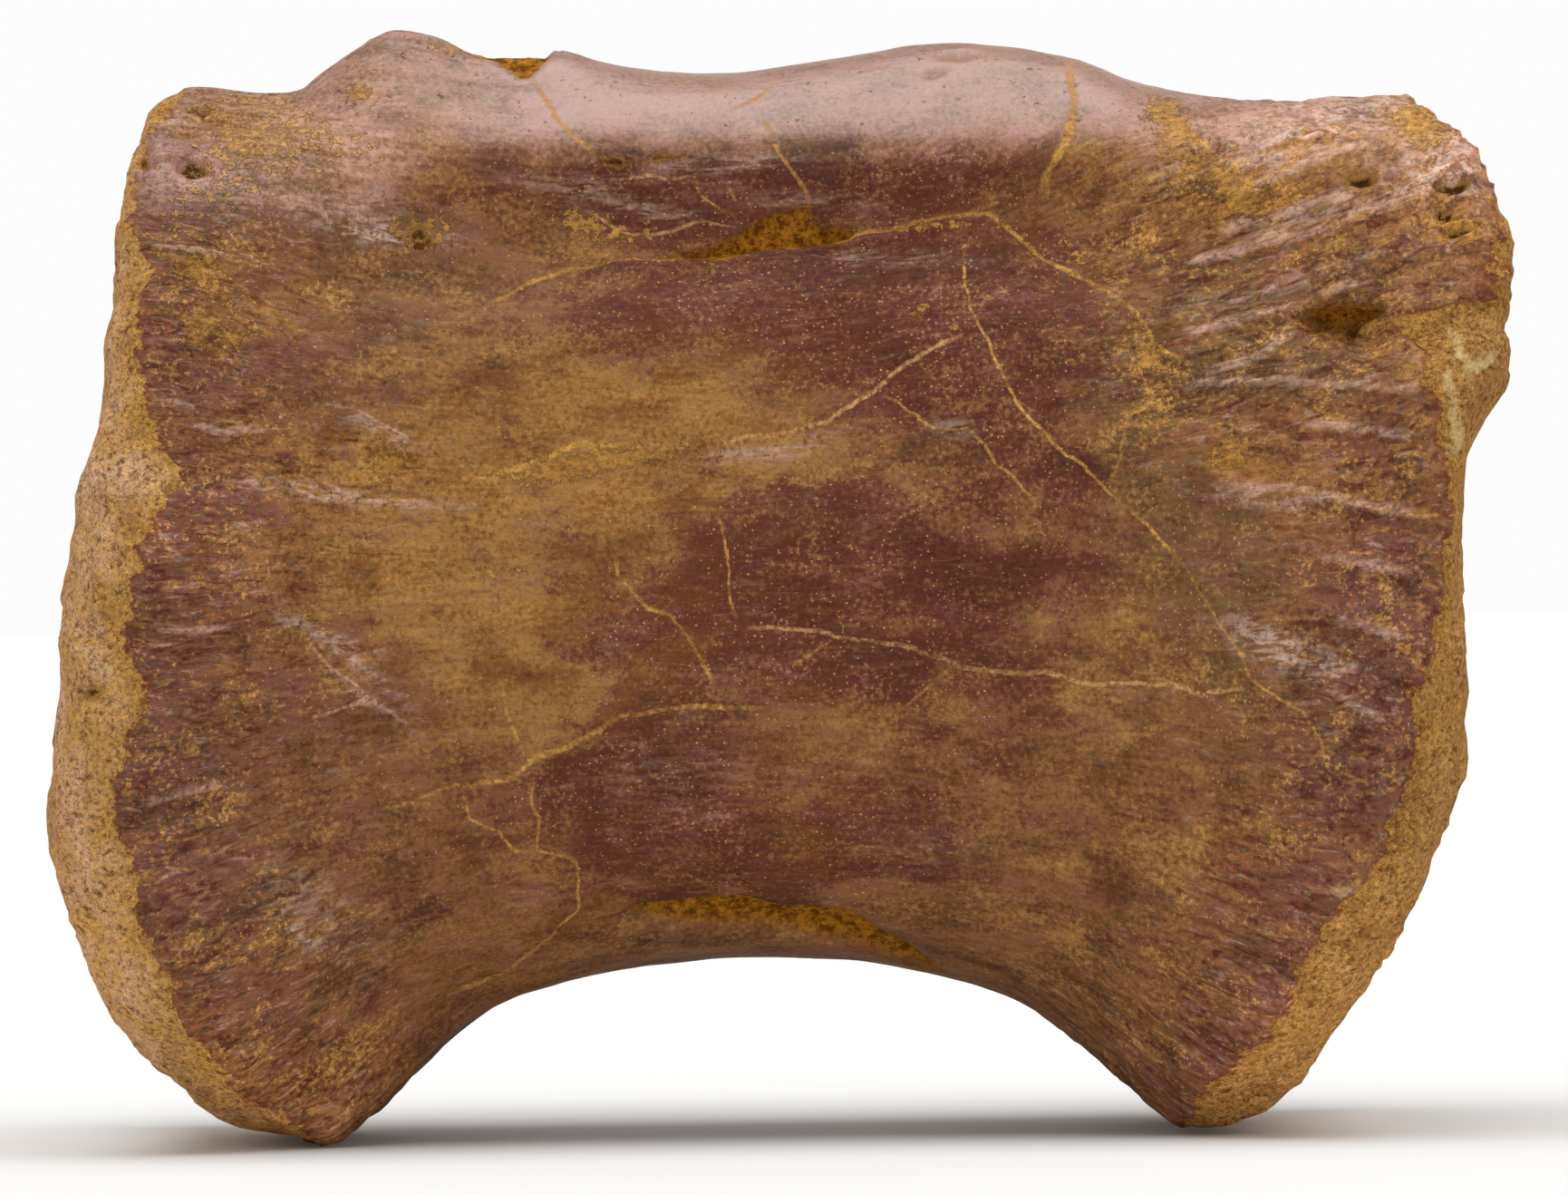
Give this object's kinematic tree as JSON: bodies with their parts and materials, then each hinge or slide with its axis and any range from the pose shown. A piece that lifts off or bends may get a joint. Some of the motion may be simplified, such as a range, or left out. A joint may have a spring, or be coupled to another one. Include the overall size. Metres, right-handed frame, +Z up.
{
  "type": "fossil spinosaurid tail vertebra",
  "caption": "Spool-shaped fossil tail vertebra with flared, worn ends, an arched underside and the stumps of its neural arch on top.",
  "frame": {"origin": "middle of the bone's box, on the ground that its two worn feet stand on", "axes": "+X along the spine, which is the longest way; +Y across the bone, away from the face that shows best; +Z up, towards the stumps of the neural arch"},
  "size_m": [0.125, 0.078, 0.095],
  "materials": {
    "fossil_bone": "satin"
  },
  "bodies": {
    "root": {"vertebra": "fossil_bone"}
  },
  "joints": []
}
